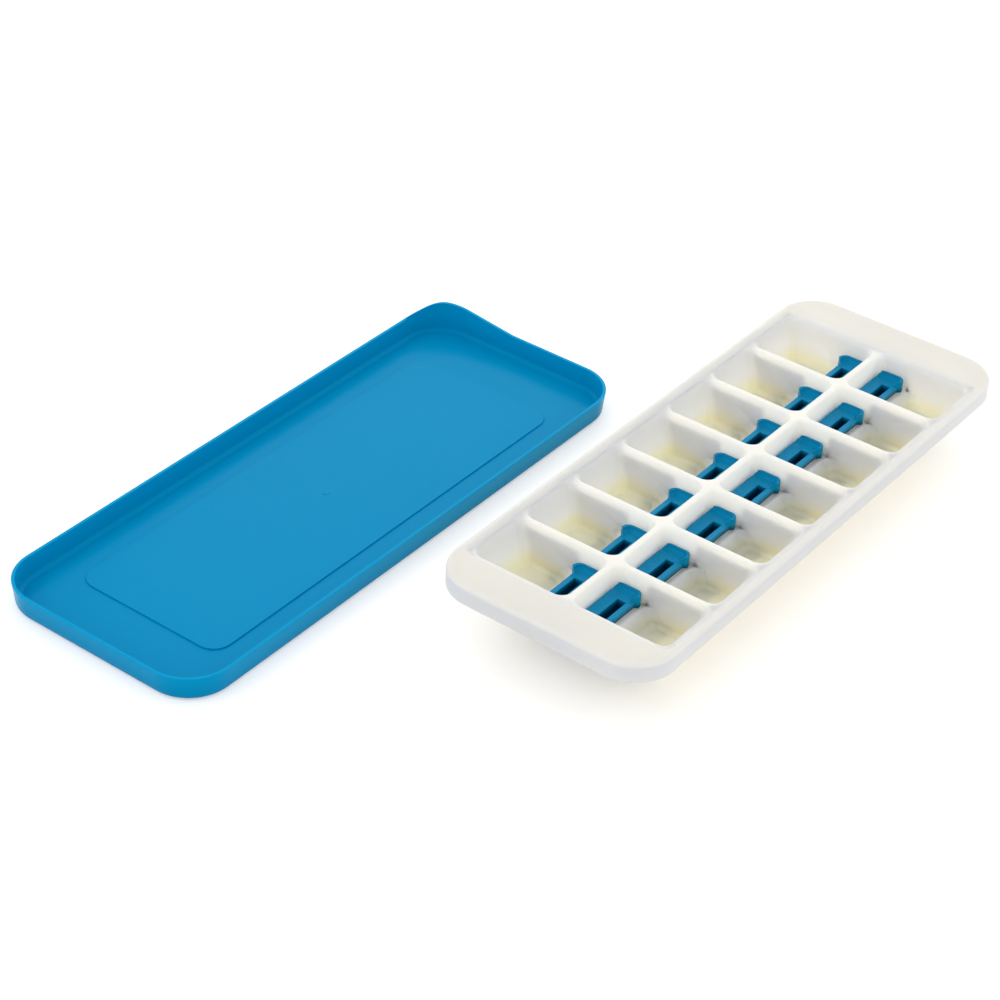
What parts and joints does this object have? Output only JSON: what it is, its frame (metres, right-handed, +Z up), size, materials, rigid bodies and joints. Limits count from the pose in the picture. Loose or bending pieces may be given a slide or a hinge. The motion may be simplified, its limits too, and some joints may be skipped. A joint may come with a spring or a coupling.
{
  "type": "lever ice cube tray",
  "caption": "Translucent white ice cube tray with a blue push lever in each cell and a blue lid lying beside it.",
  "frame": {"origin": "on the shelf, at the centre of the footprint of tray and lid together", "axes": "+X across the tray's two columns, away from the lid; +Y along its seven rows; +Z up from the shelf"},
  "size_m": [0.299, 0.4408, 0.042],
  "materials": {
    "tray_plastic": "satin",
    "blue_plastic": "gloss",
    "seal_rubber": "matte"
  },
  "bodies": {
    "tray": {"tray": "tray_plastic", "seal_right_1": "seal_rubber", "seal_right_2": "seal_rubber", "seal_right_3": "seal_rubber", "seal_right_4": "seal_rubber", "seal_right_5": "seal_rubber", "seal_right_6": "seal_rubber", "seal_right_7": "seal_rubber", "seal_left_1": "seal_rubber", "seal_left_2": "seal_rubber", "seal_left_3": "seal_rubber", "seal_left_4": "seal_rubber", "seal_left_5": "seal_rubber", "seal_left_6": "seal_rubber", "seal_left_7": "seal_rubber"},
    "lever_right_1": {"lever_right_1": "blue_plastic"},
    "lever_right_2": {"lever_right_2": "blue_plastic"},
    "lever_right_3": {"lever_right_3": "blue_plastic"},
    "lever_right_4": {"lever_right_4": "blue_plastic"},
    "lever_right_5": {"lever_right_5": "blue_plastic"},
    "lever_right_6": {"lever_right_6": "blue_plastic"},
    "lever_right_7": {"lever_right_7": "blue_plastic"},
    "lever_left_1": {"lever_left_1": "blue_plastic"},
    "lever_left_2": {"lever_left_2": "blue_plastic"},
    "lever_left_3": {"lever_left_3": "blue_plastic"},
    "lever_left_4": {"lever_left_4": "blue_plastic"},
    "lever_left_5": {"lever_left_5": "blue_plastic"},
    "lever_left_6": {"lever_left_6": "blue_plastic"},
    "lever_left_7": {"lever_left_7": "blue_plastic"},
    "lid": {"lid": "blue_plastic"}
  },
  "joints": [
    {"name": "push_right_1", "type": "hinge", "parent": "tray", "child": "lever_right_1", "pos_m": [0.10005, -0.07973, 0.0213], "axis": [1, 0, 0], "range_deg": [0, 22]},
    {"name": "push_right_2", "type": "hinge", "parent": "tray", "child": "lever_right_2", "pos_m": [0.10005, -0.03953, 0.0213], "axis": [1, 0, 0], "range_deg": [0, 22]},
    {"name": "push_right_3", "type": "hinge", "parent": "tray", "child": "lever_right_3", "pos_m": [0.10005, 0.00067, 0.0213], "axis": [1, 0, 0], "range_deg": [0, 22]},
    {"name": "push_right_4", "type": "hinge", "parent": "tray", "child": "lever_right_4", "pos_m": [0.10005, 0.04088, 0.0213], "axis": [1, 0, 0], "range_deg": [0, 22]},
    {"name": "push_right_5", "type": "hinge", "parent": "tray", "child": "lever_right_5", "pos_m": [0.10005, 0.08108, 0.0213], "axis": [1, 0, 0], "range_deg": [0, 22]},
    {"name": "push_right_6", "type": "hinge", "parent": "tray", "child": "lever_right_6", "pos_m": [0.10005, 0.12128, 0.0213], "axis": [1, 0, 0], "range_deg": [0, 22]},
    {"name": "push_right_7", "type": "hinge", "parent": "tray", "child": "lever_right_7", "pos_m": [0.10005, 0.16148, 0.0213], "axis": [1, 0, 0], "range_deg": [0, 22]},
    {"name": "push_left_1", "type": "hinge", "parent": "tray", "child": "lever_left_1", "pos_m": [0.07525, -0.07973, 0.0213], "axis": [1, 0, 0], "range_deg": [0, 22]},
    {"name": "push_left_2", "type": "hinge", "parent": "tray", "child": "lever_left_2", "pos_m": [0.07525, -0.03953, 0.0213], "axis": [1, 0, 0], "range_deg": [0, 22]},
    {"name": "push_left_3", "type": "hinge", "parent": "tray", "child": "lever_left_3", "pos_m": [0.07525, 0.00067, 0.0213], "axis": [1, 0, 0], "range_deg": [0, 22]},
    {"name": "push_left_4", "type": "hinge", "parent": "tray", "child": "lever_left_4", "pos_m": [0.07525, 0.04088, 0.0213], "axis": [1, 0, 0], "range_deg": [0, 22]},
    {"name": "push_left_5", "type": "hinge", "parent": "tray", "child": "lever_left_5", "pos_m": [0.07525, 0.08108, 0.0213], "axis": [1, 0, 0], "range_deg": [0, 22]},
    {"name": "push_left_6", "type": "hinge", "parent": "tray", "child": "lever_left_6", "pos_m": [0.07525, 0.12128, 0.0213], "axis": [1, 0, 0], "range_deg": [0, 22]},
    {"name": "push_left_7", "type": "hinge", "parent": "tray", "child": "lever_left_7", "pos_m": [0.07525, 0.16148, 0.0213], "axis": [1, 0, 0], "range_deg": [0, 22]},
    {"name": "lift_lid", "type": "slide", "parent": "tray", "child": "lid", "axis": [0, 0, 1], "range_m": [0, 0.06]}
  ]
}
